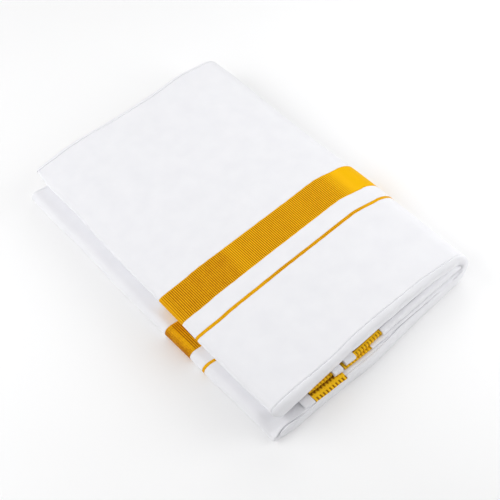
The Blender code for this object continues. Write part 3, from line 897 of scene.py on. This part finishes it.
def zari_material():
    """Gold weft ribs with painted shade in their gaps, and a smooth yellow painted highlight near the
    spine.
    """
    material, tree, shader = new_material("gold zari")
    vector, across, along, strength = cloth_coordinates(tree)
    painted_light = add_node(tree, "ShaderNodeAttribute", attribute_name="painted_light").outputs["Fac"]
    ribs = math_node(tree, "POWER", stripes(tree, across, RIB_PITCH), 0.55)
    # painted shade in the gaps between the ribs
    gaps = math_node(tree, "MULTIPLY", math_node(tree, "SUBTRACT", 1.0, ribs), strength)
    wefts = stripes(tree, along, ZARI_WEFT_PITCH)
    patches = noise(tree, vector, 130.0, 3.0)
    flecks = noise(tree, vector, FIBRE_SCALE, 2.0, (0.7, 1.0, 1.0))
    # painted shade in the gaps, with the gold's own patches and flecks
    painted_shade_and_tone = math_node(tree, "ADD", math_node(tree, "MULTIPLY", gaps, 1.5),
                     weighted_sum(tree, patches, 0.30, flecks, 0.65))
    # brighter where the painted light is
    painted_shade_and_tone = math_node(tree, "SUBTRACT", painted_shade_and_tone, math_node(tree, "MULTIPLY", painted_light, 1.2))
    ribbed = ramp(tree, painted_shade_and_tone, ((0.12, (0.925, 0.505, 0.004)), (0.38, (0.90, 0.48, 0.004)),
                               (0.62, (0.78, 0.385, 0.003)), (0.95, (0.45, 0.15, 0.002)),
                               (1.0, (0.38, 0.11, 0.002))))
    # share of the smooth yellow painted highlight mixed in below
    smooth = math_node(tree, "MULTIPLY", math_node(tree, "SUBTRACT", painted_light, 0.42), 1.72)
    colour = mix(tree, smooth, ribbed, (0.90, 0.49, 0.0005))
    tree.links.new(colour, shader.inputs["Base Color"])
    height = weighted_sum(tree, wefts, 0.5, flecks, 0.7)
    bump(tree, shader, height, 0.5, THREAD_BUMP)
    shader.inputs["Roughness"].default_value = 0.55
    shader.inputs["Metallic"].default_value = 0.15
    shader.inputs["Specular IOR Level"].default_value = 0.05
    return material


def border_material():
    """The side border's orange gold, dark where its ticks are and where a ply has painted shade."""
    material, tree, shader = new_material("gold side border")
    vector, _, _, darkness = cloth_coordinates(tree)
    flecks = noise(tree, vector, 1500.0, 2.0, (1.0, 0.5, 1.0))
    bright = ramp(tree, flecks, ((0.3, (0.88, 0.44, 0.006)), (0.6, (1.00, 0.62, 0.020))))
    # one dark brown for the ticks and for the painted shade
    colour = mix(tree, darkness, bright, (0.15, 0.020, 0.0001))
    tree.links.new(colour, shader.inputs["Base Color"])
    bump(tree, shader, flecks, 0.5, 0.0001)
    shader.inputs["Roughness"].default_value = 0.45
    shader.inputs["Metallic"].default_value = 0.2
    shader.inputs["Specular IOR Level"].default_value = 0.06
    return material


def floor_material():
    material, tree, shader = new_material("pale floor")
    geometry = add_node(tree, "ShaderNodeNewGeometry")
    shade = noise(tree, geometry.outputs["Position"], 3.0, 2.0)
    colour = ramp(tree, shade, ((0.3, (0.935, 0.935, 0.935)), (0.7, (0.965, 0.965, 0.965))))
    tree.links.new(colour, shader.inputs["Base Color"])
    shader.inputs["Roughness"].default_value = 0.8
    return material


# ---------------------------------------------------------------- stage
CAMERA_AIM = (0.0896, 0.1263, 0.016)
CAMERA_DISTANCE = 0.7444
CAMERA_AZIMUTH, CAMERA_ELEVATION, CAMERA_ROLL = -37.3, 54.62, -4.97
CAMERA_LENS, CAMERA_SENSOR = 64.16, 36.0      # in millimetres
# Soft lights round the packet, all aimed at its middle.
#   name, place, size across, power in watts
LIGHTS = (
    ("front right", (0.6, -0.6, 0.6), 0.8, 2.5),
    ("back right", (0.6, 0.6, 0.6), 0.8, 2.0),
    ("back left", (-0.6, 0.6, 0.6), 0.8, 4.0),
    ("left", (-0.8, 0.0, 0.6), 0.8, 2.5),
    ("overhead", (0.0, 0.0, 1.2), 1.0, 1.5),
    ("near right", (0.4, 0.0, 0.3), 0.3, 0.3),
    ("low front right", (0.4, -0.4, 0.2), 0.3, 0.6),
)
WORLD_STRENGTH = 0.3
FLOOR_HALF, FLOOR_DROP = 3.0, -0.0004         # half the floor's side, and its height just below the cloth


def add_camera():
    data = bpy.data.cameras.new("camera")
    data.lens = CAMERA_LENS
    data.sensor_width = CAMERA_SENSOR
    camera = bpy.data.objects.new("camera", data)
    bpy.context.scene.collection.objects.link(camera)
    turned = (Matrix.Rotation(math.radians(CAMERA_AZIMUTH), 4, "Z")
              @ Matrix.Rotation(math.radians(90.0 - CAMERA_ELEVATION), 4, "X")
              @ Matrix.Rotation(math.radians(CAMERA_ROLL), 4, "Z"))
    back = turned @ Vector((0.0, 0.0, 1.0))
    place = Vector(to_part(CAMERA_AIM)) + back * CAMERA_DISTANCE
    camera.matrix_world = Matrix.Translation(place) @ turned
    bpy.context.scene.camera = camera


def add_area_light(name, place, size, power):
    data = bpy.data.lights.new(name, "AREA")
    data.shape = "DISK"
    data.size = size
    data.energy = power
    light = bpy.data.objects.new(name, data)
    bpy.context.scene.collection.objects.link(light)
    light.location = place
    light.rotation_euler = (-Vector(place)).to_track_quat("-Z", "Y").to_euler()


def add_stage():
    corners = [(FLOOR_HALF * x, FLOOR_HALF * y, FLOOR_DROP)
               for x, y in ((-1, -1), (1, -1), (1, 1), (-1, 1))]
    floor = mesh_object("floor", corners, [(0, 1, 2, 3)], floor_material(), smooth=False)
    world = bpy.data.worlds.new("studio")
    world.use_nodes = True
    world.node_tree.nodes["Background"].inputs["Color"].default_value = (0.99, 0.99, 1.0, 1.0)
    world.node_tree.nodes["Background"].inputs["Strength"].default_value = WORLD_STRENGTH
    bpy.context.scene.world = world
    for name, place, size, power in LIGHTS:
        add_area_light(name, place, size, power)
    bpy.context.scene.view_settings.view_transform = "Standard"


def main():
    add_camera()
    add_stage()
    cotton = cotton_material()
    zari = zari_material()
    border = border_material()
    outer_cloth(cotton, zari)
    for row in INNER_PLIES:
        ply = inner_ply(row, {"plain": cotton, "border": border})
        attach(ply, "root")
        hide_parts("ply_" + row[0])
    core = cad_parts["hidden_layers"]
    core.material_slots[0].material = cotton


main()
